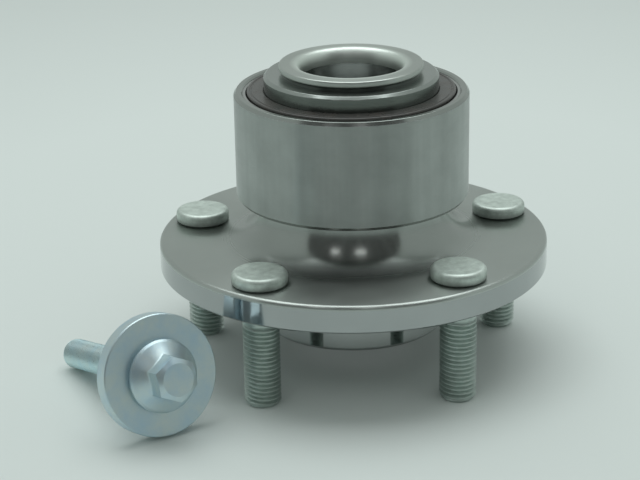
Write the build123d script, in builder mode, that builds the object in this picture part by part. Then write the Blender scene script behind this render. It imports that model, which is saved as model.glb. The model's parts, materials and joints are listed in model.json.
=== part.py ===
from build123d import *
import os
from math import atan2, cos, degrees, hypot, radians, sin

# Front wheel hub bearing unit: a wheel flange hub with five pressed-in wheel studs carries a
# double-row angular contact ball bearing, which the hub's orbital-formed nose holds on its spigot.
# The hub bolt with its captive washer clamps the drive shaft into the splined bore, and lies
# loose on the floor beside the hub, which stands on its studs.
#
# Frame, in millimetres: the origin is the centre of the stud circle on the flange's wheel face.
# +Z runs along the hub axis from the wheel side (outboard) to the drive shaft side (inboard).

# Wheel flange
bolt_circle_diameter = 108.0
flange_rim_margin = 11.5  # from the stud circle out to the rim
flange_thickness = 9.3
flange_rim_round = 0.9
flange_face_chamfer = 0.6
neck_step = 2.0  # the neck under the bearing stands this far outside the inner ring
neck_land = 0.6  # straight part of the neck below the bearing shoulder

# Wheel pilot and washer recess
pilot_diameter = 63.3
pilot_height = 21.0
pilot_chamfer = 1.2
pilot_wall = 5.6  # at the mouth of the recess
relief_depth = 0.6  # of the groove at the pilot's root
relief_width = 2.4
washer_seat_depth = 1.0  # below the flange's wheel face
washer_recess_gap = 2.0  # around the washer
recess_corner_round = 2.0

# Wheel studs
stud_count = 5
first_stud_angle = 19.33  # degrees from +X
stud_thread_diameter = 12.0
stud_reach = 32.6  # below the flange's wheel face
stud_tip_chamfer = 1.5
stud_knurl_height = 0.45  # proud of the thread, pressed into the flange
stud_head_diameter = 18.1
stud_head_height = 4.2
stud_head_round = 1.5
stud_head_chamfer = 0.6
stud_hole_chamfer = 0.5
spot_face_gap = 0.3  # around a stud head

# Drive bore
spline_count = 36
spline_minor_diameter = 26.4
spline_depth = 1.05
spline_root_width = 0.85
spline_mouth_width = 1.5
land_step = 3.3  # the plain land's radius over the spline's minor radius
land_length = 8.2
bore_mouth_flare = 2.6  # the mouth's radius over the land's
bore_mouth_depth = 5.0
seat_bore_chamfer = 1.7

# Bearing rings
bearing_diameter = 78.0
bearing_height = 24.0  # from the wheel face to the outer ring's outboard face
ball_diameter = 11.1125
ball_count = 14
race_clearance = 0.03  # between a ball and each raceway
outer_race_wall = 2.764
outer_shoulder_height = 3.34
outer_relief_height = 0.636
inner_race_wall = 4.064
inner_shoulder_height = 3.94
inner_relief_height = 0.536
outer_ring_chamfer = 0.9
outer_ring_chamfer_length = 1.2  # along the axis
outer_ring_bore_chamfer = 0.55
inner_ring_chamfer = 0.9
inner_ring_bore_chamfer = 1.2
inner_ring_joint_chamfer = 0.5
outboard_overhang = 1.4  # of the inner rings past the outer ring's faces
inboard_overhang = 5.4

# Cages
pocket_clearance = 0.15
cage_base = 1.5  # behind the pockets
cage_half_gap = 0.3  # from each cage to the bearing's middle plane
cage_land_gap = 0.4  # under the outer ring's middle land
cage_prong_reach = 2.2  # past the ball centres

# Seals
seal_depth = 4.8
seal_ball_gap = 0.244
seal_seat_step = 0.4
seal_face_inset = 0.7  # of the case below the outer ring's face
case_thickness = 0.9
case_bore_gap = 1.6  # between the case's leg and the slinger's sleeve
slinger_thickness = 0.6
slinger_inset = 0.6  # of the slinger below the outer ring's face
slinger_sleeve_length = 3.2
lip_thickness = 0.45
lip_contact_gap = 0.05
encoder_thickness = 0.8
encoder_wrap = 0.2
encoder_rim_gap = 0.45
encoder_rim_round = 0.6
encoder_bore_gap = 0.3  # round the inner ring
encoder_bore_round = 0.35

# Orbital-formed nose
nose_height = 3.5  # above the inboard inner ring
nose_rim_overhang = 2.9  # of the rim past the spigot
nose_seat_overhang = 1.7
nose_undercut_height = 0.8
nose_rim_thickness = 1.7
nose_rim_round = 0.6

# Hub bolt and captive washer
bolt_thread_diameter = 10.0
bolt_length = 60.0  # from the washer's back face to the tip
bolt_tip_chamfer = 1.2
bolt_neck_diameter = 9.0
bolt_neck_length = 4.0  # past the washer's back face
bolt_head_height = 12.0
bolt_flange_diameter = 23.3
bolt_flange_edge = 2.6  # height of the flange's bevelled edge over the washer
bolt_flange_relief = 1.1
bolt_seat_diameter = 20.4
bolt_flange_bevel = 0.7
bolt_flange_cone = 3.1  # rise of the flange up to the hexagon
hexagon_across_flats = 13.0
hexagon_chamfer = 1.4
hexagon_face_inset = 1.3  # from the flats in to the round face
hexagon_turn = 34.0  # degrees
washer_diameter = 39.0
washer_thickness = 5.56
washer_chamfer = 0.35
washer_bore_gap = 0.08
bolt_standoff = 23.717  # from the flange's rim out to the middle of the washer
bolt_place_angle = 223.753  # degrees from +X to the washer
bolt_lie_angle = -57.9  # degrees, the way the bolt head points in plan

os.makedirs("parts", exist_ok=True)

# Radii and heights that follow from the sizes above
bolt_circle_radius = bolt_circle_diameter / 2
flange_radius = bolt_circle_radius + flange_rim_margin
pilot_radius = pilot_diameter / 2
recess_mouth_radius = pilot_radius - pilot_wall
washer_radius = washer_diameter / 2
recess_floor_radius = washer_radius + washer_recess_gap
stud_radius = stud_thread_diameter / 2
stud_knurl_radius = stud_radius + stud_knurl_height
stud_head_radius = stud_head_diameter / 2
floor_height = -stud_reach

ball_radius = ball_diameter / 2
race_radius = ball_radius + race_clearance
outer_radius = bearing_diameter / 2
outer_race_bottom = outer_radius - outer_race_wall
pitch_radius = outer_race_bottom - race_radius
inner_race_bottom = pitch_radius - race_radius
inner_bore_radius = inner_race_bottom - inner_race_wall
inner_shoulder_radius = inner_race_bottom + inner_shoulder_height
inner_relief_radius = inner_race_bottom + inner_relief_height
outer_shoulder_radius = outer_race_bottom - outer_shoulder_height
outer_relief_radius = outer_race_bottom - outer_relief_height
seal_seat_radius = outer_relief_radius + seal_seat_step

row_offset = ball_radius + pocket_clearance + cage_base + cage_half_gap
seal_stop_offset = row_offset + ball_radius + seal_ball_gap
outer_face_offset = seal_stop_offset + seal_depth
middle_height = bearing_height + outer_face_offset
outboard_ring_width = outer_face_offset + outboard_overhang
inboard_ring_width = outer_face_offset + inboard_overhang
shoulder_height = middle_height - outboard_ring_width
nose_seat_height = middle_height + inboard_ring_width
nose_top_height = nose_seat_height + nose_height

neck_radius = inner_shoulder_radius + neck_step
flare_radius = shoulder_height - neck_land - flange_thickness
flare_foot_radius = neck_radius + flare_radius

spline_minor_radius = spline_minor_diameter / 2
spline_major_radius = spline_minor_radius + spline_depth
land_radius = spline_minor_radius + land_step
land_top_height = nose_top_height - bore_mouth_depth
land_bottom_height = land_top_height - land_length

INBOARD = 1
OUTBOARD = -1


def height(side, offset):
    """The height of a point that lies offset from the bearing's middle plane, towards one side."""
    return middle_height + side * offset


def corner(across, up):
    """The vertex of the sketch being built that is nearest to a place in its plane."""
    return vertices().sort_by_distance(Vector(across, up))[0]


def finish(builder, name):
    """Label a finished sub-part and write it."""
    builder.part.label = name
    export_step(builder.part, f"parts/{name}.step")


# Hub with its wheel flange, pilot, bearing spigot and formed nose
seat_height = -washer_seat_depth
relief_radius = pilot_radius - relief_depth
relief_rim_radius = relief_radius + relief_width
nose_rim_radius = inner_bore_radius + nose_rim_overhang
nose_neck_radius = inner_bore_radius + nose_seat_overhang
nose_rim_bottom = nose_top_height - nose_rim_thickness

with BuildPart() as hub_flange:
    with BuildSketch(Plane.XZ) as hub_section:
        with BuildLine():
            outline = Polyline(
                (flange_radius, flange_thickness),
                (flange_radius, flange_face_chamfer),
                (flange_radius - flange_face_chamfer, 0),
                (relief_rim_radius, 0),
                (relief_rim_radius - relief_depth, relief_depth),
                (relief_radius, relief_depth),
                (relief_radius, -relief_depth),
                (pilot_radius, -2 * relief_depth),
                (pilot_radius, pilot_chamfer - pilot_height),
                (pilot_radius - pilot_chamfer, -pilot_height),
                (recess_mouth_radius, -pilot_height),
                (recess_floor_radius, seat_height),
                (spline_minor_radius + seat_bore_chamfer, seat_height),
                (spline_minor_radius, seat_height + seat_bore_chamfer),
                (spline_minor_radius, land_bottom_height - land_step),
                (land_radius, land_bottom_height),
                (land_radius, land_top_height),
            )
            mouth = EllipticalCenterArc(
                (land_radius + bore_mouth_flare, land_top_height),
                bore_mouth_flare,
                bore_mouth_depth,
                start_angle=90,
                arc_size=90,
            )
            nose = Polyline(
                mouth @ 0,
                (nose_rim_radius, nose_top_height),
                (nose_rim_radius, nose_rim_bottom),
                (nose_neck_radius, nose_seat_height + nose_undercut_height),
                (nose_neck_radius, nose_seat_height),
                (inner_bore_radius, nose_seat_height),
                (inner_bore_radius, shoulder_height),
                (neck_radius, shoulder_height),
                (neck_radius, shoulder_height - neck_land),
            )
            flare = CenterArc((flare_foot_radius, shoulder_height - neck_land), flare_radius, 180, 90)
            Line(flare @ 1, outline @ 0)
        make_face()
        fillet(corner(flange_radius, flange_thickness), flange_rim_round)
        fillet(corner(nose_rim_radius, nose_top_height), nose_rim_round)
        fillet(corner(nose_rim_radius, nose_rim_bottom), nose_rim_round / 2)
        fillet(corner(recess_floor_radius, seat_height), recess_corner_round)
        chamfer(corner(neck_radius, shoulder_height), neck_land / 2)
    revolve(axis=Axis.Z)
    # stud holes, chamfered at the wheel face, with a spot face under each head
    with BuildSketch():
        with PolarLocations(bolt_circle_radius, stud_count, start_angle=first_stud_angle):
            Circle(stud_knurl_radius)
    extrude(amount=flange_thickness, mode=Mode.SUBTRACT)
    with BuildSketch():
        with PolarLocations(bolt_circle_radius, stud_count, start_angle=first_stud_angle):
            Circle(stud_knurl_radius + stud_hole_chamfer)
    extrude(amount=stud_hole_chamfer, taper=45, mode=Mode.SUBTRACT)
    with BuildSketch(Plane.XY.offset(flange_thickness)):
        with PolarLocations(bolt_circle_radius, stud_count, start_angle=first_stud_angle):
            Circle(stud_head_radius + spot_face_gap)
    extrude(amount=shoulder_height - flange_thickness, mode=Mode.SUBTRACT)
    # internal spline, run out into the plain land
    with BuildSketch(Plane.XY.offset(seat_height)):
        with PolarLocations(spline_minor_radius, spline_count):
            Polygon(
                (-spline_depth / 4, -spline_mouth_width / 2),
                (spline_depth, -spline_root_width / 2),
                (spline_depth, spline_root_width / 2),
                (-spline_depth / 4, spline_mouth_width / 2),
                align=None,
            )
    extrude(amount=land_bottom_height - seat_height, mode=Mode.SUBTRACT)
finish(hub_flange, "hub_flange")


# Wheel studs, pressed into the flange from the bearing side
for stud_number in range(stud_count):
    stud_angle = radians(first_stud_angle + stud_number * 360 / stud_count)
    stud_place = (bolt_circle_radius * cos(stud_angle), bolt_circle_radius * sin(stud_angle), 0)
    head_top = flange_thickness + stud_head_height
    with BuildPart() as wheel_stud:
        with BuildSketch(Plane(origin=stud_place, x_dir=(1, 0, 0), z_dir=(0, -1, 0))):
            with BuildLine():
                Polyline(
                    (0, head_top),
                    (stud_head_radius, head_top),
                    (stud_head_radius, flange_thickness + stud_head_chamfer),
                    (stud_head_radius - stud_head_chamfer, flange_thickness),
                    (stud_knurl_radius, flange_thickness),
                    (stud_knurl_radius, stud_knurl_height),
                    (stud_radius, 0),
                    (stud_radius, stud_tip_chamfer - stud_reach),
                    (stud_radius - stud_tip_chamfer, -stud_reach),
                    (0, -stud_reach),
                    close=True,
                )
            make_face()
            fillet(corner(stud_head_radius, head_top), stud_head_round)
        revolve(axis=Axis(stud_place, (0, 0, 1)))
    finish(wheel_stud, f"wheel_stud_{stud_number + 1}")


# Outer ring: two raceways with a land between them, a relief outside each and a seat for each seal
with BuildPart() as outer_ring:
    with BuildSketch(Plane.XZ):
        with BuildLine():
            Polyline(
                (outer_radius - outer_ring_chamfer, height(OUTBOARD, outer_face_offset)),
                (outer_radius, height(OUTBOARD, outer_face_offset - outer_ring_chamfer_length)),
                (outer_radius, height(INBOARD, outer_face_offset - outer_ring_chamfer_length)),
                (outer_radius - outer_ring_chamfer, height(INBOARD, outer_face_offset)),
                (seal_seat_radius, height(INBOARD, outer_face_offset)),
                (seal_seat_radius, height(INBOARD, seal_stop_offset)),
                (outer_relief_radius, height(INBOARD, seal_stop_offset)),
                (outer_relief_radius, height(INBOARD, row_offset)),
                (outer_shoulder_radius, height(INBOARD, row_offset)),
                (outer_shoulder_radius, height(OUTBOARD, row_offset)),
                (outer_relief_radius, height(OUTBOARD, row_offset)),
                (outer_relief_radius, height(OUTBOARD, seal_stop_offset)),
                (seal_seat_radius, height(OUTBOARD, seal_stop_offset)),
                (seal_seat_radius, height(OUTBOARD, outer_face_offset)),
                close=True,
            )
        make_face()
        with Locations((pitch_radius, height(INBOARD, row_offset)), (pitch_radius, height(OUTBOARD, row_offset))):
            Circle(race_radius, mode=Mode.SUBTRACT)
        for side in (INBOARD, OUTBOARD):
            chamfer(corner(seal_seat_radius, height(side, outer_face_offset)), outer_ring_bore_chamfer)
    revolve(axis=Axis.Z)
finish(outer_ring, "outer_ring")


def make_inner_ring(name, side, width):
    """One inner ring: a high shoulder outside its raceway and a low one at the joint of the rings."""
    with BuildPart() as inner_ring:
        with BuildSketch(Plane.XZ):
            with BuildLine():
                Polyline(
                    (inner_bore_radius, height(side, 0)),
                    (inner_relief_radius, height(side, 0)),
                    (inner_relief_radius, height(side, row_offset)),
                    (inner_shoulder_radius, height(side, row_offset)),
                    (inner_shoulder_radius, height(side, width)),
                    (inner_bore_radius, height(side, width)),
                    close=True,
                )
            make_face()
            with Locations((pitch_radius, height(side, row_offset))):
                Circle(race_radius, mode=Mode.SUBTRACT)
            chamfer(corner(inner_shoulder_radius, height(side, width)), inner_ring_chamfer)
            chamfer(corner(inner_bore_radius, height(side, width)), inner_ring_bore_chamfer)
            chamfer(corner(inner_bore_radius, height(side, 0)), inner_ring_joint_chamfer)
        revolve(axis=Axis.Z)
    finish(inner_ring, name)


def make_balls(name, side):
    """One row of balls."""
    with BuildPart() as balls:
        with Locations((0, 0, height(side, row_offset))):
            with PolarLocations(pitch_radius, ball_count):
                Sphere(ball_radius)
    finish(balls, name)


def make_cage(name, side):
    """One snap-in cage: a base ring at the bearing's middle, and prongs between the balls."""
    cage_outer_radius = outer_shoulder_radius - cage_land_gap
    cage_inner_radius = 2 * pitch_radius - cage_outer_radius
    with BuildPart() as cage:
        with BuildSketch(Plane.XZ):
            with BuildLine():
                Polyline(
                    (cage_inner_radius, height(side, cage_half_gap)),
                    (cage_outer_radius, height(side, cage_half_gap)),
                    (cage_outer_radius, height(side, row_offset + cage_prong_reach)),
                    (cage_inner_radius, height(side, row_offset + cage_prong_reach)),
                    close=True,
                )
            make_face()
        revolve(axis=Axis.Z)
        with Locations((0, 0, height(side, row_offset))):
            with PolarLocations(pitch_radius, ball_count):
                Sphere(ball_radius + pocket_clearance, mode=Mode.SUBTRACT)
    finish(cage, name)


slinger_face_offset = outer_face_offset - slinger_inset
slinger_back_offset = slinger_face_offset - slinger_thickness
sleeve_radius = inner_shoulder_radius + slinger_thickness
case_inner_radius = seal_seat_radius - case_thickness
encoder_radius = case_inner_radius - encoder_rim_gap
slinger_radius = encoder_radius - encoder_wrap
case_leg_offset = seal_stop_offset + case_thickness
case_bore_radius = sleeve_radius + case_bore_gap


def make_slinger(name, side):
    """One slinger: a sleeve pressed onto the inner ring, and a flange that closes the seal."""
    with BuildPart() as slinger:
        with BuildSketch(Plane.XZ):
            with BuildLine():
                Polyline(
                    (inner_shoulder_radius, height(side, slinger_face_offset)),
                    (slinger_radius, height(side, slinger_face_offset)),
                    (slinger_radius, height(side, slinger_back_offset)),
                    (sleeve_radius, height(side, slinger_back_offset)),
                    (sleeve_radius, height(side, slinger_face_offset - slinger_sleeve_length)),
                    (inner_shoulder_radius, height(side, slinger_face_offset - slinger_sleeve_length)),
                    close=True,
                )
            make_face()
        revolve(axis=Axis.Z)
    finish(slinger, name)


def make_seal_case(name, side):
    """One seal case: a sheet-metal angle pressed into the outer ring against its stop."""
    with BuildPart() as case:
        with BuildSketch(Plane.XZ):
            with BuildLine():
                Polyline(
                    (seal_seat_radius, height(side, outer_face_offset - seal_face_inset)),
                    (seal_seat_radius, height(side, seal_stop_offset)),
                    (case_bore_radius, height(side, seal_stop_offset)),
                    (case_bore_radius, height(side, case_leg_offset)),
                    (case_inner_radius, height(side, case_leg_offset)),
                    (case_inner_radius, height(side, outer_face_offset - seal_face_inset)),
                    close=True,
                )
            make_face()
        revolve(axis=Axis.Z)
    finish(case, name)


def make_seal_lips(name, side):
    """The rubber on one seal case: a radial lip on the slinger's sleeve, an axial one on its flange."""
    rubber_offset = case_leg_offset + lip_thickness
    radial_tip = sleeve_radius + lip_contact_gap
    axial_tip = slinger_back_offset - lip_contact_gap
    axial_root_radius = (case_bore_radius + case_inner_radius) / 2
    axial_lean = (axial_tip - rubber_offset) / 3
    with BuildPart() as lips:
        with BuildSketch(Plane.XZ):
            with BuildLine():
                Polyline(
                    (case_inner_radius, height(side, case_leg_offset)),
                    (case_inner_radius, height(side, rubber_offset)),
                    (axial_root_radius + lip_thickness, height(side, rubber_offset)),
                    (axial_root_radius + lip_thickness + axial_lean, height(side, axial_tip)),
                    (axial_root_radius + axial_lean, height(side, axial_tip)),
                    (axial_root_radius - lip_thickness, height(side, rubber_offset)),
                    (case_bore_radius, height(side, rubber_offset)),
                    (radial_tip, height(side, rubber_offset + 2 * lip_thickness)),
                    (radial_tip, height(side, rubber_offset + lip_thickness)),
                    (case_bore_radius - lip_thickness, height(side, case_leg_offset)),
                    (case_bore_radius - lip_thickness, height(side, seal_stop_offset)),
                    (case_bore_radius, height(side, seal_stop_offset)),
                    (case_bore_radius, height(side, case_leg_offset)),
                    close=True,
                )
            make_face()
        revolve(axis=Axis.Z)
    finish(lips, name)


make_inner_ring("inboard_inner_ring", INBOARD, inboard_ring_width)
make_inner_ring("outboard_inner_ring", OUTBOARD, outboard_ring_width)
for side, side_name in ((INBOARD, "inboard"), (OUTBOARD, "outboard")):
    make_balls(f"{side_name}_balls", side)
    make_cage(f"{side_name}_cage", side)
    make_slinger(f"{side_name}_slinger", side)
    make_seal_case(f"{side_name}_seal_case", side)
    make_seal_lips(f"{side_name}_seal_lips", side)


# Magnetised rubber ring of the wheel speed sensor, moulded onto the inboard slinger and over its edge
encoder_top = height(INBOARD, slinger_face_offset + encoder_thickness)
encoder_bore_radius = inner_shoulder_radius + encoder_bore_gap
with BuildPart() as encoder_ring:
    with BuildSketch(Plane.XZ):
        with BuildLine():
            Polyline(
                (encoder_bore_radius, height(INBOARD, slinger_face_offset)),
                (slinger_radius, height(INBOARD, slinger_face_offset)),
                (slinger_radius, height(INBOARD, slinger_back_offset)),
                (encoder_radius, height(INBOARD, slinger_back_offset)),
                (encoder_radius, encoder_top),
                (encoder_bore_radius, encoder_top),
                close=True,
            )
        make_face()
        fillet(corner(encoder_radius, encoder_top), encoder_rim_round)
        fillet(corner(encoder_bore_radius, encoder_top), encoder_bore_round)
    revolve(axis=Axis.Z)
finish(encoder_ring, "encoder_ring")


# The hub bolt lies on the washer's rim and on the end of its thread
bolt_thread_radius = bolt_thread_diameter / 2
bolt_tilt = atan2(washer_radius - bolt_thread_radius, bolt_length - bolt_tip_chamfer)
bolt_lie = radians(bolt_lie_angle)
bolt_place = radians(bolt_place_angle)
washer_distance = flange_radius + bolt_standoff
bolt_plane = Plane(
    origin=(
        washer_distance * cos(bolt_place),
        washer_distance * sin(bolt_place),
        floor_height + washer_radius * cos(bolt_tilt),
    ),
    x_dir=(-sin(bolt_lie), cos(bolt_lie), 0),
    z_dir=(cos(bolt_tilt) * cos(bolt_lie), cos(bolt_tilt) * sin(bolt_lie), sin(bolt_tilt)),
)
bolt_axis = Axis(bolt_plane.origin, bolt_plane.z_dir)
bolt_section = Plane(origin=bolt_plane.origin, x_dir=bolt_plane.x_dir, z_dir=-bolt_plane.y_dir)

bolt_neck_radius = bolt_neck_diameter / 2
bolt_seat_radius = bolt_seat_diameter / 2
bolt_flange_radius = bolt_flange_diameter / 2
bolt_flange_top = washer_thickness + bolt_flange_edge
hexagon_base = bolt_flange_top + bolt_flange_cone
bolt_head_top = washer_thickness + bolt_head_height
hexagon_inner_radius = hexagon_across_flats / 2
hexagon_corner_radius = hexagon_inner_radius / cos(radians(30))

with BuildPart() as hub_bolt:
    with BuildSketch(bolt_plane.offset(washer_thickness)):
        RegularPolygon(hexagon_inner_radius, 6, major_radius=False, rotation=hexagon_turn)
    extrude(amount=bolt_head_height)
    # the top of the hexagon is turned to a cone
    with BuildSketch(bolt_section):
        with BuildLine():
            Polyline(
                (0, washer_thickness),
                (hexagon_corner_radius, washer_thickness),
                (hexagon_corner_radius, bolt_head_top - hexagon_chamfer),
                (hexagon_inner_radius - hexagon_face_inset, bolt_head_top),
                (0, bolt_head_top),
                close=True,
            )
        make_face()
    revolve(axis=bolt_axis, mode=Mode.INTERSECT)
    with BuildSketch(bolt_section):
        with BuildLine():
            Polyline(
                (0, hexagon_base),
                (hexagon_inner_radius, hexagon_base),
                (bolt_flange_radius - bolt_flange_bevel, bolt_flange_top),
                (bolt_flange_radius, bolt_flange_top - bolt_flange_bevel),
                (bolt_flange_radius, washer_thickness + bolt_flange_relief),
                (bolt_seat_radius, washer_thickness),
                (bolt_neck_radius, washer_thickness),
                (bolt_neck_radius, -bolt_neck_length),
                (bolt_thread_radius, bolt_neck_radius - bolt_thread_radius - bolt_neck_length),
                (bolt_thread_radius, bolt_tip_chamfer - bolt_length),
                (bolt_thread_radius - bolt_tip_chamfer, -bolt_length),
                (0, -bolt_length),
                close=True,
            )
        make_face()
    revolve(axis=bolt_axis)
finish(hub_bolt, "hub_bolt")

washer_bore_radius = bolt_neck_radius + washer_bore_gap
with BuildPart() as hub_bolt_washer:
    with BuildSketch(bolt_section):
        with BuildLine():
            Polyline(
                (washer_bore_radius, 0),
                (washer_radius, 0),
                (washer_radius, washer_thickness - washer_chamfer),
                (washer_radius - washer_chamfer, washer_thickness),
                (washer_bore_radius, washer_thickness),
                close=True,
            )
        make_face()
    revolve(axis=bolt_axis)
finish(hub_bolt_washer, "hub_bolt_washer")
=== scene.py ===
"""Looks of the wheel hub bearing: turned and ground steel, zinc plating, rubber, and a studio."""

import json
from math import ceil, cos, pi, radians, sin, sqrt, tan

import bmesh
import bpy
from mathutils import Matrix, Vector


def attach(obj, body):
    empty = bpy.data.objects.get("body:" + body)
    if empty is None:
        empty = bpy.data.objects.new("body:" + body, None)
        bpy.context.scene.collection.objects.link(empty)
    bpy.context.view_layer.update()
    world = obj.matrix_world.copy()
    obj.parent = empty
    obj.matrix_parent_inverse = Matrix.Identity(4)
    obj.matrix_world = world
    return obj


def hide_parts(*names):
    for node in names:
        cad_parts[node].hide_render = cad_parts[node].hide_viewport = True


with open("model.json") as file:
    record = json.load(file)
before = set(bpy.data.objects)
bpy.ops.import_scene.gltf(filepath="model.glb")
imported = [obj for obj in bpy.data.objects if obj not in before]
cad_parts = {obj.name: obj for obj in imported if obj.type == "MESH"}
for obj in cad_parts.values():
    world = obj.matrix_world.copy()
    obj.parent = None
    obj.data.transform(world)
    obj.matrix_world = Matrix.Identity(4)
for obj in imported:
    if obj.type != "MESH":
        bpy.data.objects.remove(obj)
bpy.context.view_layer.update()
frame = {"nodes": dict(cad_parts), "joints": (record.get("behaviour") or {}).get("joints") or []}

MM = 0.001

# ---------------------------------------------------------------- sizes, in millimetres
# They are the solids' sizes to a few thousandths, except where a comment gives the solid's.
# The threads, the sensor ring's groove and the hexagon's fillet are only here. The origin is
# the middle of the stud circle on the wheel face, and +Z runs inboard.

# Hub: wheel flange, pilot and washer recess
FLANGE_RADIUS = 65.5
FLANGE_THICKNESS = 9.3
FLANGE_RIM_ROUND = 1.25  # 0.9 in the solid; wider here for the highlight along the rim
FLANGE_FACE_CHAMFER = 0.6
FACE_FINISH_REACH = 1.2  # how far down the rim the face's finish goes, in rim rounds
PILOT_RADIUS = 31.65
PILOT_HEIGHT = 21.0
PILOT_CHAMFER = 1.2
RECESS_MOUTH_RADIUS = 26.05
RECESS_FLOOR_RADIUS = 21.5
RECESS_ROUND = 2.0
RELIEF_DEPTH = 0.6
RELIEF_WIDTH = 2.4
SEAT_HEIGHT = -1.0

# Hub: splined bore and its mouth
SPLINE_COUNT = 36
SPLINE_MINOR_RADIUS = 13.2
SPLINE_DEPTH = 1.05
SPLINE_ROOT_WIDTH = 0.85
SPLINE_MOUTH_WIDTH = 1.5
LAND_RADIUS = 16.5
LAND_LENGTH = 8.2
MOUTH_FLARE = 2.6
MOUTH_DEPTH = 5.0
SEAT_CHAMFER = 1.7

# Hub: neck, spigot and formed nose
SHOULDER_HEIGHT = 22.6
NECK_RADIUS = 31.0
NECK_LAND = 0.6
SPIGOT_RADIUS = 21.0
NOSE_SEAT_HEIGHT = 65.613
NOSE_TOP_HEIGHT = 69.113
NOSE_RIM_RADIUS = 23.9
NOSE_RIM_THICKNESS = 1.7
NOSE_NECK_RADIUS = 22.7
NOSE_UNDERCUT = 0.8
NOSE_RIM_ROUND = 0.6

# Bearing rings
RING_RADIUS = 39.0
RING_BOTTOM = 24.0
RING_TOP = 60.213
RING_CHAMFER = 0.9
RING_CHAMFER_LENGTH = 1.2
RING_BORE_CHAMFER = 0.55
SEAL_SEAT_RADIUS = 36.0
SEAL_STOP_DEPTH = 4.8
SHOULDER_RADIUS = 32.896
OUTER_RELIEF_RADIUS = 35.6
OUTER_RACE_ARC = (-66.3, 27.6)  # degrees round the ball's centre, shoulder to relief
INNER_RING_RADIUS = 29.0
INNER_RING_CHAMFER = 0.9
INNER_RING_BORE_CHAMFER = 1.2
INNER_RING_JOINT_CHAMFER = 0.5
INNER_RELIEF_RADIUS = 25.6
INNER_RACE_ARC = (205.3, 107.1)  # relief to shoulder
RINGS_JOINT_HEIGHT = 42.107
PITCH_RADIUS = 30.65
ROW_OFFSET = 7.506
RACE_RADIUS = 5.586

# Sensor ring
ENCODER_INNER_RADIUS = 29.05  # 29.3 in the solid
ENCODER_OUTER_RADIUS = 34.65
ENCODER_WRAP = 0.2
ENCODER_BOTTOM = 59.013
ENCODER_SEAT = 59.613
ENCODER_TOP = 60.413
ENCODER_RIM_ROUND = 0.5  # 0.6 in the solid
ENCODER_BORE_ROUND = 0.35
# The groove, which the solid doesn't have: (in from the rim, down from the top)
ENCODER_GROOVE = ((0.95, 0), (1.15, 0.22), (1.45, 0.22), (1.65, 0))

# Wheel studs
STUD_COUNT = 5
BOLT_CIRCLE_RADIUS = 54.0
FIRST_STUD_ANGLE = 19.33
STUD_RADIUS = 6.0
STUD_REACH = 32.6
STUD_PITCH = 1.5
STUD_TIP_CHAMFER = 1.5
STUD_KNURL_RADIUS = 6.45
STUD_HEAD_RADIUS = 9.05
STUD_HEAD_HEIGHT = 4.2
STUD_HEAD_ROUND = 1.5
STUD_HEAD_CHAMFER = 0.6
STUD_DISH_DEPTH = 0.1  # of the head's top, which is flat in the solid
STUD_DISH_INSET = 2.2
STUD_PLAIN_LENGTH = 3.4
STUD_THREAD_TURN = 1.3  # radians from one stud's thread to the next one's
STUD_HOLE_CHAMFER = 0.5

# Hub bolt and captive washer
BOLT_RADIUS = 5.0
BOLT_PITCH = 1.25
BOLT_LENGTH = 60.0
BOLT_TIP_CHAMFER = 1.2
BOLT_NECK_RADIUS = 4.5
BOLT_NECK_LENGTH = 4.0
BOLT_HEAD_HEIGHT = 12.0
BOLT_FLANGE_RADIUS = 11.65
BOLT_FLANGE_EDGE = 2.6
BOLT_FLANGE_RELIEF = 1.1
BOLT_SEAT_RADIUS = 10.2
BOLT_FLANGE_BEVEL = 0.7
BOLT_FLANGE_CONE = 3.1
BOLT_PLAIN_LENGTH = 20.0
HEXAGON_FLATS = 13.0
HEXAGON_CHAMFER = 1.4
HEXAGON_FACE_INSET = 1.3
HEXAGON_TURN = 34.0
HEXAGON_FOOT = ((0, 0.4), (0.12, 0.12), (0.4, 0))  # its fillet on the flange: (out, up)
WASHER_RADIUS = 19.5
WASHER_THICKNESS = 5.56
WASHER_CHAMFER = 0.35
WASHER_BORE_RADIUS = 4.58

# Rounds that the solids don't have
CRISP, FINE, EASED, SOFT, BLUNT = 0.1, 0.15, 0.2, 0.25, 0.3


# ---------------------------------------------------------------- camera
def make_camera():
    """The viewpoint that a fit to the object's circles gave, in metres and degrees."""
    focal_pixels, image_width, sensor_width = 1958.74, 640, 36.0
    elevation, roll, distance = radians(20.78), radians(-1.05), 0.66628
    target = Vector((-0.01127, 0.0, 0.00674))
    forward = Vector((0, cos(elevation), -sin(elevation)))
    level_right = Vector((1, 0, 0))
    level_up = level_right.cross(forward)
    right = cos(roll) * level_right + sin(roll) * level_up
    up = cos(roll) * level_up - sin(roll) * level_right
    turn = Matrix((right, up, -forward)).transposed().to_4x4()
    data = bpy.data.cameras.new("camera")
    data.sensor_width = sensor_width
    data.lens = focal_pixels * sensor_width / image_width
    data.clip_start, data.clip_end = 0.01, 100
    camera = bpy.data.objects.new("camera", data)
    camera.matrix_world = Matrix.Translation(target - forward * distance) @ turn
    bpy.context.scene.collection.objects.link(camera)
    bpy.context.scene.camera = camera


# ---------------------------------------------------------------- material nodes
AROUND_THE_AXIS = 0.25  # the turn of an anisotropic highlight
SUM_LOW, SUM_HIGH = 0.7, 1.3  # the middle of the range of two noises' sum


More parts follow.
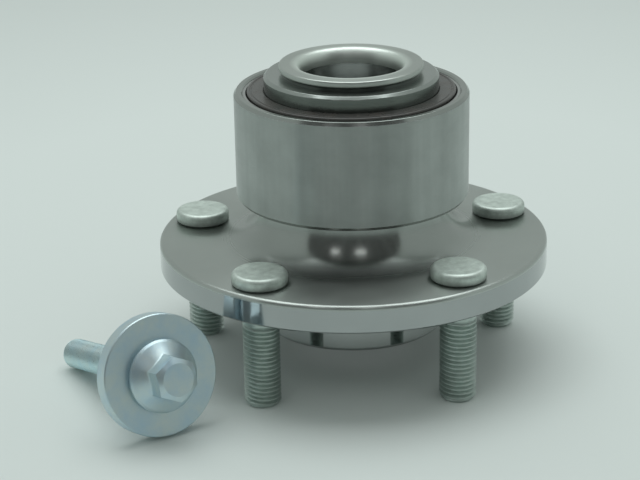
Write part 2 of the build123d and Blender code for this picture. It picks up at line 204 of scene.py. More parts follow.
def material(name, colour, metallic, roughness, anisotropy=0.0, specular=0.5):
    """A new material and its shader, with the constant values on the shader's own sockets."""
    mat = bpy.data.materials.new(name)
    mat.use_nodes = True
    shader = mat.node_tree.nodes["Principled BSDF"]
    shader.inputs["Base Color"].default_value = (*colour, 1)
    shader.inputs["Metallic"].default_value = metallic
    shader.inputs["Roughness"].default_value = roughness
    shader.inputs["Specular IOR Level"].default_value = specular
    if anisotropy:
        shader.inputs["Anisotropic"].default_value = anisotropy
        shader.inputs["Anisotropic Rotation"].default_value = AROUND_THE_AXIS
        tangent = node(mat, "ShaderNodeTangent", direction_type="RADIAL", axis="Z")
        link(mat, tangent.outputs["Tangent"], shader.inputs["Tangent"])
    return mat, shader


def node(mat, kind, inputs=(), **settings):
    """Add a node; inputs are (socket, value or output to link)."""
    made = mat.node_tree.nodes.new(kind)
    for key, value in settings.items():
        setattr(made, key, value)
    for socket, value in inputs:
        if isinstance(value, bpy.types.NodeSocket):
            mat.node_tree.links.new(value, made.inputs[socket])
        else:
            made.inputs[socket].default_value = value
    return made


def link(mat, source, target):
    mat.node_tree.links.new(source, target)


def coordinates(mat, scale=(1, 1, 1)):
    """Object coordinates in millimetres, stretched by scale."""
    place = node(mat, "ShaderNodeTexCoord").outputs["Object"]
    factors = tuple(s / MM for s in scale)
    return node(mat, "ShaderNodeMapping", [("Vector", place), ("Scale", factors)]).outputs[0]


def radius_of(mat):
    """Distance from the hub's axis, in millimetres."""
    place = coordinates(mat, (1, 1, 0))
    return node(mat, "ShaderNodeVectorMath", [(0, place)], operation="LENGTH").outputs["Value"]


def height_of(mat):
    """Height along the hub's axis, in millimetres."""
    return node(mat, "ShaderNodeSeparateXYZ", [("Vector", coordinates(mat))]).outputs["Z"]


def noise(mat, vector, scale, detail=3.0, roughness=0.55):
    inputs = [("Vector", vector), ("Scale", scale), ("Detail", detail), ("Roughness", roughness)]
    return node(mat, "ShaderNodeTexNoise", inputs).outputs["Fac"]


def ranged(mat, value, low, high, source_low=0.3, source_high=0.7):
    """A value mapped to low..high from its own range, as a rule the middle of a noise's."""
    inputs = [
        ("Value", value),
        ("From Min", source_low),
        ("From Max", source_high),
        ("To Min", low),
        ("To Max", high),
    ]
    return node(mat, "ShaderNodeMapRange", inputs, clamp=True).outputs[0]


def added(mat, first, second):
    return node(mat, "ShaderNodeMath", [(0, first), (1, second)], operation="ADD").outputs[0]


def mixed(mat, factor, first, second):
    """A colour between two others."""
    inputs = [(0, factor), (6, (*first, 1)), (7, (*second, 1))]
    return node(mat, "ShaderNodeMix", inputs, data_type="RGBA").outputs[2]


def tinted(mat, shader, factor, colour, dark, pale):
    """Vary the base colour between two multiples of a colour."""
    darker, paler = (tuple(c * share for c in colour) for share in (dark, pale))
    link(mat, mixed(mat, factor, darker, paler), shader.inputs["Base Color"])


def shaded(mat, shader, factor):
    """Multiply the base colour by a factor."""
    tint = shader.inputs["Base Color"].links[0].from_socket
    scaled = node(mat, "ShaderNodeVectorMath", [(0, tint), ("Scale", factor)], operation="SCALE")
    link(mat, scaled.outputs[0], shader.inputs["Base Color"])


def bump(mat, shader, height, distance):
    """Relief from a height, which a distance in millimetres scales."""
    made = node(mat, "ShaderNodeBump", [("Height", height), ("Distance", distance * MM)])
    link(mat, made.outputs[0], shader.inputs["Normal"])


# ---------------------------------------------------------------- finishes
def turned_steel(name, colour, roughness, spread, groove, anisotropy):
    """Steel with the fine rings that a lathe leaves: they follow the radius and the height."""
    mat, shader = material(name, colour, 1.0, roughness, anisotropy)
    rings = node(mat, "ShaderNodeCombineXYZ", [("X", radius_of(mat)), ("Y", height_of(mat))])
    fine = noise(mat, rings.outputs[0], scale=3.0, detail=4.0)
    broad = noise(mat, coordinates(mat), scale=0.045)
    low, high = roughness - spread, roughness + spread
    gloss = ranged(mat, added(mat, fine, broad), low, high, SUM_LOW, SUM_HIGH)
    link(mat, gloss, shader.inputs["Roughness"])
    tinted(mat, shader, ranged(mat, broad, 0, 1), colour, dark=0.95, pale=1.04)
    bump(mat, shader, fine, groove)
    return mat


def finish_with_painted_light_inside(mat, inner, outer, roughness, shade):
    """Another roughness inside a radius, and painted light or shade there: the colour times a
    shade.
    """
    shader = mat.node_tree.nodes["Principled BSDF"]
    share = ranged(mat, radius_of(mat), 0, 1, inner, outer)
    usual = shader.inputs["Roughness"].links[0].from_socket
    blend = node(mat, "ShaderNodeMix", [("Factor", share), ("A", roughness), ("B", usual)])
    link(mat, blend.outputs[0], shader.inputs["Roughness"])
    shaded(mat, shader, ranged(mat, share, shade, 1, 0, 1))


def darker_below(mat, low, high, shade):
    """Paint shade towards a finish's foot: its colour times a shade up to low, in full from high.
    """
    shader = mat.node_tree.nodes["Principled BSDF"]
    shaded(mat, shader, ranged(mat, height_of(mat), shade, 1, low, high))


def ground_steel(name, colour, roughness):
    """A ground ring's satin skin: scratches round the axis, faint stains and upright chatter."""
    mat, shader = material(name, colour, 1.0, roughness, anisotropy=0.95)
    scratches = noise(mat, coordinates(mat, (0.12, 0.12, 6.0)), scale=1.0, detail=4.0)
    stains = noise(mat, coordinates(mat), scale=0.09, detail=5.0, roughness=0.6)
    chatter = noise(mat, coordinates(mat, (1, 1, 0.03)), scale=0.16, detail=4.0)
    gloss = ranged(mat, scratches, roughness - 0.05, roughness + 0.05)
    link(mat, gloss, shader.inputs["Roughness"])
    marks = ranged(mat, added(mat, stains, chatter), 0, 1, SUM_LOW, SUM_HIGH)
    tinted(mat, shader, marks, colour, dark=0.88, pale=1.1)
    bump(mat, shader, scratches, distance=0.002)
    return mat


def plating(name, colour, tint, mottle, roughness, metallic, grain, relief):
    """Zinc plating: a faint mottle of tint and gloss over a fine grain."""
    mat, shader = material(name, colour, metallic, roughness)
    cloud = noise(mat, coordinates(mat), mottle, detail=4.0, roughness=0.6)
    speck = noise(mat, coordinates(mat), grain, detail=3.0, roughness=0.6)
    link(mat, mixed(mat, ranged(mat, cloud, 0, 1), colour, tint), shader.inputs["Base Color"])
    gloss = ranged(mat, speck, roughness - 0.08, roughness + 0.1)
    link(mat, gloss, shader.inputs["Roughness"])
    bump(mat, shader, speck, relief)
    return mat


def rubber(name, colour, roughness):
    """Moulded rubber, a little warmer in places."""
    mat, shader = material(name, colour, 0.0, roughness)
    cloud = noise(mat, coordinates(mat), scale=0.2, detail=4.0)
    gloss = ranged(mat, cloud, roughness - 0.06, roughness + 0.08)
    link(mat, gloss, shader.inputs["Roughness"])
    warm = tuple(c * share for c, share in zip(colour, (1.2, 1.05, 1.0)))
    link(mat, mixed(mat, ranged(mat, cloud, 0, 1), colour, warm), shader.inputs["Base Color"])
    bump(mat, shader, noise(mat, coordinates(mat), scale=4.0), distance=0.004)
    return mat


def polymer(name, colour):
    """The cages' moulded polymer."""
    mat, shader = material(name, colour, 0.0, roughness=0.45)
    cloud = noise(mat, coordinates(mat), scale=0.5)
    link(mat, ranged(mat, cloud, 0.4, 0.55), shader.inputs["Roughness"])
    bump(mat, shader, noise(mat, coordinates(mat), scale=3.0), distance=0.006)
    return mat


# turned_steel: name, colour, roughness, its spread, depth of the turning marks, anisotropy
# plating: name, colour, its tint, scale of the mottle, roughness, metallic, grain, its relief
MATERIALS = {
    "face": turned_steel("turned_face", (0.47, 0.505, 0.48), 0.31, 0.03, 0.0006, 0.8),
    "rim": turned_steel("polished_rim", (0.39, 0.41, 0.41), 0.12, 0.03, 0.0004, 0.5),
    "pilot": turned_steel("ground_pilot", (0.41, 0.425, 0.42), 0.1, 0.03, 0.0004, 0.5),
    "underside": turned_steel("turned_underside", (0.42, 0.435, 0.43), 0.28, 0.05, 0.0015, 0.5),
    "nose": turned_steel("formed_nose", (0.485, 0.52, 0.49), 0.32, 0.04, 0.0008, 0.6),
    # A dark copy of the nose's steel for the neck under its rim: painted shade.
    "nose_neck": turned_steel("nose_neck", (0.15, 0.165, 0.155), 0.3, 0.04, 0.0008, 0.6),
    "land": turned_steel("formed_land", (0.46, 0.49, 0.47), 0.24, 0.04, 0.001, 0.6),
    "bore": turned_steel("broached_bore", (0.36, 0.375, 0.37), 0.3, 0.05, 0.002, 0.0),
    "recess": turned_steel("machined_recess", (0.40, 0.41, 0.40), 0.32, 0.06, 0.004, 0.5),
    "ground": ground_steel("ground_ring", (0.405, 0.436, 0.42), 0.36),
    "ring_face": turned_steel("ring_face", (0.38, 0.405, 0.385), 0.2, 0.05, 0.0015, 0.5),
    "inner_ring": turned_steel("inner_ring_steel", (0.38, 0.41, 0.39), 0.22, 0.03, 0.001, 0.6),
    # A dark copy of the inner ring's steel for its side: painted shade.
    "inner_side": turned_steel("inner_ring_side_painted_shade", (0.17, 0.19, 0.175), 0.2, 0.04, 0.001, 0.9),
    "bearing": turned_steel("bearing_steel", (0.40, 0.415, 0.41), 0.3, 0.05, 0.001, 0.5),
    "sheet": turned_steel("sheet_steel", (0.42, 0.43, 0.42), 0.3, 0.05, 0.0015, 0.0),
    "stud_zinc": plating(
        "zinc_flake", (0.48, 0.54, 0.50), (0.68, 0.755, 0.705), 0.35, 0.48, 0.8, 5.0, 0.014
    ),
    # A darker copy of the zinc flake for the studs' shanks: painted shade under the flange.
    "stud_thread": plating(
        "rolled_thread_painted_shade", (0.42, 0.485, 0.455), (0.53, 0.605, 0.57), 0.35, 0.42, 0.85, 5.0, 0.014
    ),
    "bolt_zinc": plating(
        "bright_zinc", (0.48, 0.63, 0.72), (0.60, 0.69, 0.69), 0.14, 0.37, 0.82, 3.0, 0.006
    ),
    # A paler copy of the bright zinc for the bolt's shank: painted light.
    "bolt_thread": plating(
        "bright_thread_painted_light", (0.64, 0.86, 0.92), (0.74, 0.90, 0.90), 0.14, 0.34, 0.85, 3.0, 0.004
    ),
    "encoder": rubber("encoder_rubber", (0.051, 0.052, 0.050), 0.24),
    "rubber": rubber("seal_rubber", (0.02, 0.02, 0.02), 0.5),
    "cage": polymer("cage_polymer", (0.62, 0.5, 0.3)),
}
# The flare up to the neck is glossier than the face, and painted shade darkens its colour. The
# nose is duller round the bore, with a painted highlight in its colour there and painted shade
# down its mouth. The studs' heads have painted shade at their foot, where they stand on the
# flange.
finish_with_painted_light_inside(MATERIALS["face"], inner=36, outer=48, roughness=0.23, shade=0.8)
finish_with_painted_light_inside(MATERIALS["nose"], inner=18, outer=20.5, roughness=0.45, shade=1.6)
darker_below(MATERIALS["nose"], NOSE_TOP_HEIGHT - 3.4, NOSE_TOP_HEIGHT - 1.1, shade=0.62)
darker_below(MATERIALS["stud_zinc"], FLANGE_THICKNESS, FLANGE_THICKNESS + 2.2, shade=0.4)


# ---------------------------------------------------------------- mesh tools
SMALL_STEP, LARGE_STEP, LARGE_ROUND = radians(15), radians(4), 1.9
FEWEST_STEPS = 3
ARC_STEP = 6  # degrees
SUPPORT = 0.04  # how far beside a round the flat surface gets a ring of its own
SHARP_ANGLE = radians(28)
MERGE_DISTANCE = 1e-7  # metres
THREAD_DEPTH, THREAD_CREST, THREAD_FLANK = 0.613, 0.125, 0.354  # shares of the pitch
THREAD_RUNOUT = 1.5  # pitches


def arc(centre_r, centre_z, radius, start, end, finish, rise=None):
    """Corners along an arc, its angles in degrees; with a rise, on an ellipse as high as that."""
    steps = ceil(abs(end - start) / ARC_STEP)
    turns = [radians(start + (end - start) * k / steps) for k in range(steps + 1)]
    rise = rise or radius
    return [(centre_r + radius * cos(a), centre_z + rise * sin(a), 0, finish) for a in turns]


def corner_point(corner):
    return Vector(corner[0](0) if callable(corner[0]) else corner[:2])


def rounded(corners):
    """Rings (r, z, finish) of a closed outline from corners (r, z, round, finish).

    A finish covers the surface from its corner to the next one. A corner (function, finish)
    passes as it is."""
    rings = []
    for i, corner in enumerate(corners):
        if len(corner) == 2:
            rings.append(corner)
            continue
        r, z, bend, finish = corner
        if not bend:
            rings.append((r, z, finish))
            continue
        before = corners[i - 1]
        after = corners[(i + 1) % len(corners)]
        here = Vector((r, z))
        back = (corner_point(before) - here).normalized()
        on = (corner_point(after) - here).normalized()
        opening = back.angle(on)
        reach = bend / tan(opening / 2)
        centre = here + (back + on).normalized() * (bend / sin(opening / 2))
        start = here + back * reach - centre
        turn = pi - opening
        step = LARGE_STEP if bend > LARGE_ROUND else SMALL_STEP
        steps = max(FEWEST_STEPS, ceil(turn / step))
        way = 1 if start.x * (here - centre).y - start.y * (here - centre).x > 0 else -1
        rings.append((*(centre + start + back * SUPPORT), before[-1]))
        for k in range(steps + 1):
            a = way * turn * k / steps
            spoke = (start.x * cos(a) - start.y * sin(a), start.x * sin(a) + start.y * cos(a))
            rings.append((*(centre + Vector(spoke)), finish))
        rings.append((*(here + on * (reach + SUPPORT)), finish))
    return rings


def even_angles(count):
    return [2 * pi * k / count for k in range(count + 1)]


def skin(name, rings, angles, matrix=None):
    """A mesh from rings, each (r, z, finish) or (function of the angle for r and z, finish).

    The last column of vertices is merged with the first, so a helical row may join the next."""
    finishes = list(dict.fromkeys(ring[-1] for ring in rings))
    mesh = bmesh.new()
    columns = []
    for angle in angles:
        column = []
        for ring in rings:
            r, z = ring[0](angle) if callable(ring[0]) else ring[:2]
            column.append(mesh.verts.new((r * cos(angle) * MM, r * sin(angle) * MM, z * MM)))
        columns.append(column)
    for left, right in zip(columns, columns[1:]):
        for j, ring in enumerate(rings):
            k = (j + 1) % len(rings)
            if k == 0 and ring[0] == 0 and rings[0][0] == 0:
                continue  # both ends of the outline are on the axis, which gets no surface
            face = mesh.faces.new((left[j], right[j], right[k], left[k]))
            face.material_index = finishes.index(ring[-1])
            face.smooth = True
    bmesh.ops.remove_doubles(mesh, verts=mesh.verts, dist=MERGE_DISTANCE)
    bmesh.ops.recalc_face_normals(mesh, faces=mesh.faces)
    if matrix:
        bmesh.ops.transform(mesh, matrix=matrix, verts=mesh.verts)
    piece = placed(name, mesh, [MATERIALS[finish] for finish in finishes])
    piece.data.set_sharp_from_angle(angle=SHARP_ANGLE)
    return piece


def flat_sheet(name, corners, mat):
    """An object of one face, for the studio."""
    mesh = bmesh.new()
    mesh.faces.new([mesh.verts.new(corner) for corner in corners])
    return placed(name, mesh, [mat])


def placed(name, mesh, materials):
    """An object in the scene from a bmesh, which this frees."""
    data = bpy.data.meshes.new(name)
    mesh.to_mesh(data)
    mesh.free()
    for mat in materials:
        data.materials.append(mat)
    made = bpy.data.objects.new(name, data)
    bpy.context.scene.collection.objects.link(made)
    return made


def shank_rows(plain, length, radius, pitch, tip_chamfer, finish):
    """Rows of a shank's thread under its plain length, top first, and the middle of its tip.

    The thread fades out at the top and tapers at the tip."""
    top, bottom, tip_radius = -plain, -length, radius - tip_chamfer
    depth = THREAD_DEPTH * pitch
    profile = (  # share of the pitch, depth of the cut
        (0, 0),
        (THREAD_CREST, 0),
        (THREAD_CREST + THREAD_FLANK, depth),
        (1 - THREAD_FLANK, depth),
    )

    def row(start, cut):
        def place(angle):
            z = min(max(start - pitch * angle / (2 * pi), bottom), top)
            fade = min(1.0, (top - z) / (THREAD_RUNOUT * pitch))
            return min(radius - cut * fade, tip_radius + (z - bottom)), z

        return place

    rows = []
    for turn in range(-1, ceil((top - bottom) / pitch) + 1):
        head = top - turn * pitch
        rows += [(row(head - share * pitch, cut), finish) for share, cut in profile]
    return rows + [(0, bottom, finish)]


# ---------------------------------------------------------------- the hub with its flange and nose
# A groove is as wide as its mouth a quarter of its depth inside the minor radius, as in the
# solid, so at the minor radius it has these shares of the widths of its mouth and its root.
MOUTH_SHARE, ROOT_SHARE = 0.8, 0.2
GROOVE_WIDTH = MOUTH_SHARE * SPLINE_MOUTH_WIDTH + ROOT_SHARE * SPLINE_ROOT_WIDTH
SPLINE_MAJOR_RADIUS = SPLINE_MINOR_RADIUS + SPLINE_DEPTH
MOUTH_HALF = 0.5 * GROOVE_WIDTH / SPLINE_MINOR_RADIUS
ROOT_HALF = 0.5 * SPLINE_ROOT_WIDTH / SPLINE_MAJOR_RADIUS
TOOTH = 2 * pi / SPLINE_COUNT  # radians from one tooth to the next
TIP_COLUMN = 0.3 * MOUTH_HALF  # from the middle of a tooth's tip to a column beside it
HOLE_COLUMNS = 64
CUT_PAST = 1  # how far the holes' cutters pass the flange's faces


def spline_angles():
    """Columns of the hub, with one on each edge of each tooth."""
    tip = (TOOTH / 2 - TIP_COLUMN, TOOTH / 2 + TIP_COLUMN)
    edges = (-ROOT_HALF, 0, ROOT_HALF, MOUTH_HALF, *tip, TOOTH - MOUTH_HALF)
    angles = [k * TOOTH + edge for k in range(SPLINE_COUNT) for edge in edges]
    return angles + [angles[0] + 2 * pi]


def spline_radius(angle):
    off = abs((angle + TOOTH / 2) % TOOTH - TOOTH / 2)
    share = min(1, max(0, (MOUTH_HALF - off) / (MOUTH_HALF - ROOT_HALF)))
    return SPLINE_MINOR_RADIUS + SPLINE_DEPTH * share


def spline_row(slope, offset):
    """A row on the spline's teeth, on the cone z = offset + slope * r."""
    return lambda angle: (spline_radius(angle), offset + slope * spline_radius(angle))


def make_hub():
    relief_radius = PILOT_RADIUS - RELIEF_DEPTH
    relief_rim = relief_radius + RELIEF_WIDTH
    rim_top = FLANGE_THICKNESS - FACE_FINISH_REACH * FLANGE_RIM_ROUND
    land_top = NOSE_TOP_HEIGHT - MOUTH_DEPTH
    land_bottom = land_top - LAND_LENGTH
    mouth_radius = LAND_RADIUS + MOUTH_FLARE
    nose_rim_bottom = NOSE_TOP_HEIGHT - NOSE_RIM_THICKNESS
    flare_radius = SHOULDER_HEIGHT - NECK_LAND - FLANGE_THICKNESS
    outline = [
        (FLANGE_RADIUS, FLANGE_THICKNESS, FLANGE_RIM_ROUND, "face"),
        (FLANGE_RADIUS, rim_top, 0, "rim"),
        (FLANGE_RADIUS, FLANGE_FACE_CHAMFER, FINE, "rim"),
        (FLANGE_RADIUS - FLANGE_FACE_CHAMFER, 0, FINE, "underside"),
        (relief_rim, 0, 0, "underside"),
        (relief_rim - RELIEF_DEPTH, RELIEF_DEPTH, EASED, "underside"),
        (relief_radius, RELIEF_DEPTH, EASED, "underside"),
        (relief_radius, -RELIEF_DEPTH, EASED, "underside"),
        (PILOT_RADIUS, -2 * RELIEF_DEPTH, CRISP, "pilot"),
        (PILOT_RADIUS, PILOT_CHAMFER - PILOT_HEIGHT, FINE, "pilot"),
        (PILOT_RADIUS - PILOT_CHAMFER, -PILOT_HEIGHT, FINE, "underside"),
        (RECESS_MOUTH_RADIUS, -PILOT_HEIGHT, SOFT, "recess"),
        (RECESS_FLOOR_RADIUS, SEAT_HEIGHT, RECESS_ROUND, "underside"),
        (SPLINE_MINOR_RADIUS + SEAT_CHAMFER, SEAT_HEIGHT, 0, "bore"),
        (spline_row(-1, SEAT_HEIGHT + SPLINE_MINOR_RADIUS + SEAT_CHAMFER), "bore"),
        (spline_row(1, land_bottom - LAND_RADIUS), "bore"),
        (LAND_RADIUS, land_bottom, 0, "land"),
        *arc(mouth_radius, land_top, MOUTH_FLARE, 180, 90, "nose", MOUTH_DEPTH),
        (NOSE_RIM_RADIUS, NOSE_TOP_HEIGHT, NOSE_RIM_ROUND, "nose"),
        (NOSE_RIM_RADIUS, nose_rim_bottom, NOSE_RIM_ROUND / 2, "nose"),
        (NOSE_NECK_RADIUS, NOSE_SEAT_HEIGHT + NOSE_UNDERCUT, EASED, "nose_neck"),
        (NOSE_NECK_RADIUS, NOSE_SEAT_HEIGHT, 0, "nose_neck"),
        (SPIGOT_RADIUS, NOSE_SEAT_HEIGHT, 0, "underside"),
        (SPIGOT_RADIUS, SHOULDER_HEIGHT, 0, "underside"),
        (NECK_RADIUS, SHOULDER_HEIGHT, BLUNT, "face"),
        (NECK_RADIUS, FLANGE_THICKNESS, flare_radius, "face"),
    ]
    hub = skin("hub_with_flange", rounded(outline), spline_angles())
    cut_stud_holes(hub)
    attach(hub, "hub")
    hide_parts("hub_flange")


def cut_stud_holes(hub):
    """Cut the chamfered stud holes, and keep the edges crisp."""
    chamfer_radius = STUD_KNURL_RADIUS + (STUD_HOLE_CHAMFER + CUT_PAST)
    hole = [
        (0, FLANGE_THICKNESS + CUT_PAST, 0, "underside"),
        (STUD_KNURL_RADIUS, FLANGE_THICKNESS + CUT_PAST, 0, "underside"),
        (STUD_KNURL_RADIUS, STUD_HOLE_CHAMFER, 0, "underside"),
        (chamfer_radius, -CUT_PAST, 0, "underside"),
        (0, -CUT_PAST, 0, "underside"),
    ]
    columns = even_angles(HOLE_COLUMNS)
    cutters = [skin("hole", rounded(hole), columns, place) for place in stud_places()]
    tool = cutters[0]
    with bpy.context.temp_override(active_object=tool, selected_editable_objects=cutters):
        bpy.ops.object.join()
    cut = hub.modifiers.new("holes", "BOOLEAN")
    cut.operation, cut.solver, cut.object = "DIFFERENCE", "EXACT", tool
    shape = hub.evaluated_get(bpy.context.evaluated_depsgraph_get())
    hub.data = bpy.data.meshes.new_from_object(shape)
    hub.modifiers.clear()
    bpy.data.objects.remove(tool)
    hub.data.set_sharp_from_angle(angle=SHARP_ANGLE)


def stud_places():
    turns = [radians(FIRST_STUD_ANGLE + k * 360 / STUD_COUNT) for k in range(STUD_COUNT)]
    spots = [Vector((cos(a), sin(a), 0)) * BOLT_CIRCLE_RADIUS * MM for a in turns]
    return [Matrix.Translation(spot) for spot in spots]


# ---------------------------------------------------------------- the bearing
OUTER_RING_COLUMNS, INNER_RING_COLUMNS = 288, 256


def make_outer_ring():
    """The knuckle ring with its raceways, shoulders and seal seats, mirrored about its middle."""
    middle = (RING_BOTTOM + RING_TOP) / 2
    top = middle + (RING_TOP - RING_BOTTOM) / 2
    upper = [
        (SHOULDER_RADIUS, middle, 0, "bearing"),
        *arc(PITCH_RADIUS, middle + ROW_OFFSET, RACE_RADIUS, *OUTER_RACE_ARC, "bearing"),
        (OUTER_RELIEF_RADIUS, top - SEAL_STOP_DEPTH, 0, "bearing"),
        (SEAL_SEAT_RADIUS, top - SEAL_STOP_DEPTH, 0, "bearing"),
        (SEAL_SEAT_RADIUS, top - RING_BORE_CHAMFER, FINE, "ring_face"),
        (SEAL_SEAT_RADIUS + RING_BORE_CHAMFER, top, FINE, "ring_face"),
        (RING_RADIUS - RING_CHAMFER, top, SOFT, "ring_face"),
        (RING_RADIUS, top - RING_CHAMFER_LENGTH, SOFT, "ground"),
    ]
    lower = [(r, 2 * middle - z, bend, "ring_face") for r, z, bend, _ in reversed(upper[1:])]
    ring = skin("bearing_outer_ring", rounded(upper + lower), even_angles(OUTER_RING_COLUMNS))
    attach(ring, "bearing_outer")
    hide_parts("outer_ring")


def make_inner_ring():
    """The inboard inner ring; its side is darker than its chamfer, a painted shade in its colour.
    """
    joint = RINGS_JOINT_HEIGHT
    outline = [
        (SPIGOT_RADIUS, joint + INNER_RING_JOINT_CHAMFER, 0, "bearing"),
        (SPIGOT_RADIUS + INNER_RING_JOINT_CHAMFER, joint, 0, "bearing"),
        (INNER_RELIEF_RADIUS, joint, 0, "bearing"),
        *arc(PITCH_RADIUS, joint + ROW_OFFSET, RACE_RADIUS, *INNER_RACE_ARC, "inner_side"),
        (INNER_RING_RADIUS, NOSE_SEAT_HEIGHT - INNER_RING_CHAMFER, SOFT, "inner_ring"),
        (INNER_RING_RADIUS - INNER_RING_CHAMFER, NOSE_SEAT_HEIGHT, SOFT, "inner_ring"),
        (SPIGOT_RADIUS + INNER_RING_BORE_CHAMFER, NOSE_SEAT_HEIGHT, 0, "bearing"),
        (SPIGOT_RADIUS, NOSE_SEAT_HEIGHT - INNER_RING_BORE_CHAMFER, 0, "bearing"),
    ]
    ring = skin("bearing_inner_ring", rounded(outline), even_angles(INNER_RING_COLUMNS))
    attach(ring, "hub")
    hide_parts("inboard_inner_ring")


def make_encoder():
    """The sensor ring's rubber, with the moulded groove inside its rim."""
    inner, outer, top = ENCODER_INNER_RADIUS, ENCODER_OUTER_RADIUS, ENCODER_TOP
    corners = [
        (inner, ENCODER_SEAT, 0),
        (outer - ENCODER_WRAP, ENCODER_SEAT, 0),
        (outer - ENCODER_WRAP, ENCODER_BOTTOM, 0),
        (outer, ENCODER_BOTTOM, 0),
        (outer, top, ENCODER_RIM_ROUND),
        *((outer - inset, top - depth, CRISP) for inset, depth in ENCODER_GROOVE),
        (inner, top, ENCODER_BORE_ROUND),
    ]
    outline = rounded([(*corner, "encoder") for corner in corners])
    ring = skin("sensor_ring", outline, even_angles(INNER_RING_COLUMNS))
    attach(ring, "hub")
    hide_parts("encoder_ring")


# ---------------------------------------------------------------- studs, bolt and washer
STUD_COLUMNS, BOLT_COLUMNS, WASHER_COLUMNS = 96, 144, 192


def make_studs():
    head_top = FLANGE_THICKNESS + STUD_HEAD_HEIGHT
    head = [
        (0, head_top - STUD_DISH_DEPTH, 0, "stud_zinc"),
        (STUD_HEAD_RADIUS - STUD_DISH_INSET, head_top, 0, "stud_zinc"),
        (STUD_HEAD_RADIUS, head_top, STUD_HEAD_ROUND, "stud_zinc"),
        (STUD_HEAD_RADIUS, FLANGE_THICKNESS + STUD_HEAD_CHAMFER, EASED, "stud_zinc"),
        (STUD_HEAD_RADIUS - STUD_HEAD_CHAMFER, FLANGE_THICKNESS, 0, "stud_zinc"),
        (STUD_KNURL_RADIUS, FLANGE_THICKNESS, 0, "stud_zinc"),
        (STUD_KNURL_RADIUS, STUD_KNURL_RADIUS - STUD_RADIUS, 0, "stud_zinc"),
        (STUD_RADIUS, 0, 0, "stud_thread"),
    ]
    thread = shank_rows(
        STUD_PLAIN_LENGTH, STUD_REACH, STUD_RADIUS, STUD_PITCH, STUD_TIP_CHAMFER, "stud_thread"
    )
    rings, columns = rounded(head) + thread, even_angles(STUD_COLUMNS)
    for k, place in enumerate(stud_places()):
        turn = Matrix.Rotation(STUD_THREAD_TURN * k, 4, "Z")
        stud = skin(f"stud_{k + 1}", rings, columns, place @ turn)
        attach(stud, "hub")
        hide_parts(f"wheel_stud_{k + 1}")


def bolt_matrix():
    """The place of the loose bolt: local Z runs from tip to head, from the washer's back face."""
    joint = next(j for j in frame["joints"] if j["name"] == "washer_spin")
    axis = Vector(joint["axis"]).normalized()
    across = Vector((-axis.y, axis.x, 0)).normalized()
    turn = Matrix((across, axis.cross(across), axis)).transposed().to_4x4()
    return Matrix.Translation(joint["pos_m"]) @ turn


def hexagon_radius(angle):
    off = (angle - radians(HEXAGON_TURN)) % (pi / 3) - pi / 6
    return HEXAGON_FLATS / 2 / cos(off)


def make_bolt():
    head_top = WASHER_THICKNESS + BOLT_HEAD_HEIGHT
    flange_top = WASHER_THICKNESS + BOLT_FLANGE_EDGE
    cone_foot = BOLT_FLANGE_RADIUS - BOLT_FLANGE_BEVEL
    cone_slope = BOLT_FLANGE_CONE / (cone_foot - HEXAGON_FLATS / 2)
    corner_radius = HEXAGON_FLATS / sqrt(3)
    face_radius = HEXAGON_FLATS / 2 - HEXAGON_FACE_INSET
    chamfer_slope = HEXAGON_CHAMFER / (corner_radius - face_radius)

    def chamfer_row(angle):
        r = hexagon_radius(angle)
        return r, head_top - (r - face_radius) * chamfer_slope

    def foot_row(out, up):
        def place(angle):
            r = hexagon_radius(angle)
            return r + out, flange_top + (cone_foot - r - out) * cone_slope + up

        return place

    head = [
        (0, head_top, 0, "bolt_zinc"),
        (face_radius, head_top, 0, "bolt_zinc"),
        (chamfer_row, "bolt_zinc"),
        *((foot_row(out, up), "bolt_zinc") for out, up in HEXAGON_FOOT),
        (cone_foot, flange_top, EASED, "bolt_zinc"),
        (BOLT_FLANGE_RADIUS, flange_top - BOLT_FLANGE_BEVEL, EASED, "bolt_zinc"),
        (BOLT_FLANGE_RADIUS, WASHER_THICKNESS + BOLT_FLANGE_RELIEF, FINE, "bolt_zinc"),
        (BOLT_SEAT_RADIUS, WASHER_THICKNESS, 0, "bolt_zinc"),
        (BOLT_NECK_RADIUS, WASHER_THICKNESS, 0, "bolt_zinc"),
        (BOLT_NECK_RADIUS, -BOLT_NECK_LENGTH, 0, "bolt_zinc"),
        (BOLT_RADIUS, BOLT_NECK_RADIUS - BOLT_RADIUS - BOLT_NECK_LENGTH, CRISP, "bolt_thread"),
    ]
    thread = shank_rows(
        BOLT_PLAIN_LENGTH, BOLT_LENGTH, BOLT_RADIUS, BOLT_PITCH, BOLT_TIP_CHAMFER, "bolt_thread"
    )
    angles = [radians(HEXAGON_TURN) + a for a in even_angles(BOLT_COLUMNS)]
    bolt = skin("hub_bolt_dressed", rounded(head) + thread, angles, bolt_matrix())
    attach(bolt, "loose_bolt")
    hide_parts("hub_bolt")


def make_washer():
    outline = [
        (WASHER_BORE_RADIUS, 0, 0, "bolt_zinc"),
        (WASHER_RADIUS, 0, BLUNT, "bolt_zinc"),
        (WASHER_RADIUS, WASHER_THICKNESS - WASHER_CHAMFER, SOFT, "bolt_zinc"),
        (WASHER_RADIUS - WASHER_CHAMFER, WASHER_THICKNESS, SOFT, "bolt_zinc"),
        (WASHER_BORE_RADIUS, WASHER_THICKNESS, 0, "bolt_zinc"),
    ]
    columns = even_angles(WASHER_COLUMNS)
    washer = skin("captive_washer", rounded(outline), columns, bolt_matrix())
    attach(washer, "loose_washer")
    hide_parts("hub_bolt_washer")


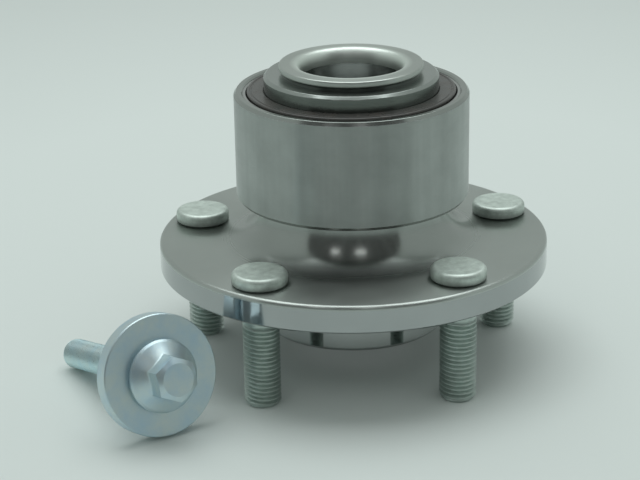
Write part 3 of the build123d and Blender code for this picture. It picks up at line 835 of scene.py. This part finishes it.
# ---------------------------------------------------------------- CAD pieces that stay in view
def dress_cad_nodes():
    for name, piece in frame["nodes"].items():
        if "ball" in name or name == "outboard_inner_ring":
            finish = "bearing"
        elif "cage" in name:
            finish = "cage"
        elif "lips" in name:
            finish = "rubber"
        elif "slinger" in name or "case" in name:
            finish = "sheet"
        else:
            continue
        piece.material_slots[0].material = MATERIALS[finish]


# ---------------------------------------------------------------- studio, in metres
FLOOR_HALF = 6.0
FLOOR_HEIGHT = -STUD_REACH * MM
# The floor's colour paints a pool of light round this spot and darkens farther out.
PALEST_SPOT = (0, 110, -STUD_REACH)  # on the floor, in millimetres
PALEST_REACH, DARKEST_REACH = 180, 450  # from that spot, in millimetres
TENT_COLOUR, TENT_STRENGTH = (0.62, 0.68, 0.655), 0.72
LAMP_TARGET = Vector((0, 0, 0))


def make_world():
    """An even tent of pale light."""
    world = bpy.data.worlds.new("tent")
    bpy.context.scene.world = world
    world.use_nodes = True
    back = world.node_tree.nodes["Background"]
    back.inputs["Color"].default_value = (*TENT_COLOUR, 1)
    back.inputs["Strength"].default_value = TENT_STRENGTH


def make_floor():
    """Pale paper with a painted pool of light round the object, as on a lit table."""
    mat, shader = material("paper", (0.645, 0.69, 0.67), 0.0, 0.9, specular=0.1)
    grain = noise(mat, coordinates(mat), scale=0.01, detail=2.0)
    link(mat, ranged(mat, grain, 0.86, 0.94), shader.inputs["Roughness"])
    ends = [(0, coordinates(mat)), (1, PALEST_SPOT)]
    distance = node(mat, "ShaderNodeVectorMath", ends, operation="DISTANCE").outputs["Value"]
    edge = ranged(mat, distance, 0, 1, PALEST_REACH, DARKEST_REACH)
    paper = mixed(mat, edge, (0.676, 0.718, 0.700), (0.592, 0.628, 0.612))
    link(mat, paper, shader.inputs["Base Color"])
    ways = ((-1, -1), (1, -1), (1, 1), (-1, 1))
    corners = [(x * FLOOR_HALF, y * FLOOR_HALF, FLOOR_HEIGHT) for x, y in ways]
    floor = flat_sheet("floor", corners, mat)


def make_card(name, foot, head, tint, glow):
    """A streaked, glowing card that only reflections see.

    Its lower and upper edges are (half width, y, z)."""
    mat, shader = material(name, (0, 0, 0), 0.0, 0.9, specular=0.0)
    shader.inputs["Emission Color"].default_value = (*tint, 1)
    streaks = noise(mat, coordinates(mat, (1, 0, 0)), scale=0.012)
    strength = ranged(mat, streaks, 0.1 * glow, 2.9 * glow, 0.35, 0.65)
    link(mat, strength, shader.inputs["Emission Strength"])
    edges = ((-1, foot), (1, foot), (1, head), (-1, head))
    corners = [(side * half, y, z) for side, (half, y, z) in edges]
    card = flat_sheet(name, corners, mat)
    card.visible_camera = card.visible_diffuse = card.visible_shadow = False


def area_light(name, place, size, power, colour=(1, 1, 1)):
    """A soft rectangular lamp that faces the object."""
    data = bpy.data.lights.new(name, "AREA")
    data.shape, data.size, data.size_y = "RECTANGLE", size[0], size[1]
    data.energy, data.color = power, colour
    lamp = bpy.data.objects.new(name, data)
    lamp.location = place
    lamp.rotation_euler = (LAMP_TARGET - Vector(place)).to_track_quat("-Z", "Y").to_euler()
    bpy.context.scene.collection.objects.link(lamp)


def make_studio():
    """A pale tent with a dark open front, a lamp over it and two small windows in front."""
    make_world()
    make_floor()
    foot, head = (1.7, -1.25, FLOOR_HEIGHT), (0.85, -0.37, 1.38)
    make_card("dark_front", foot, head, tint=(0.95, 1.0, 0.97), glow=0.075)
    area_light("overhead", (0.0, 0.33, 1.4), (1.6, 1.3), power=12.6, colour=(0.95, 1, 1))
    area_light("window_left", (-0.225, -0.495, 0.52), (0.1, 0.14), power=0.075)
    area_light("window_right", (0.075, -0.5, 0.52), (0.12, 0.16), power=0.085)


bpy.context.scene.view_settings.view_transform = "Standard"
make_camera()
make_studio()
make_hub()
make_outer_ring()
make_inner_ring()
make_encoder()
make_studs()
make_bolt()
make_washer()
dress_cad_nodes()
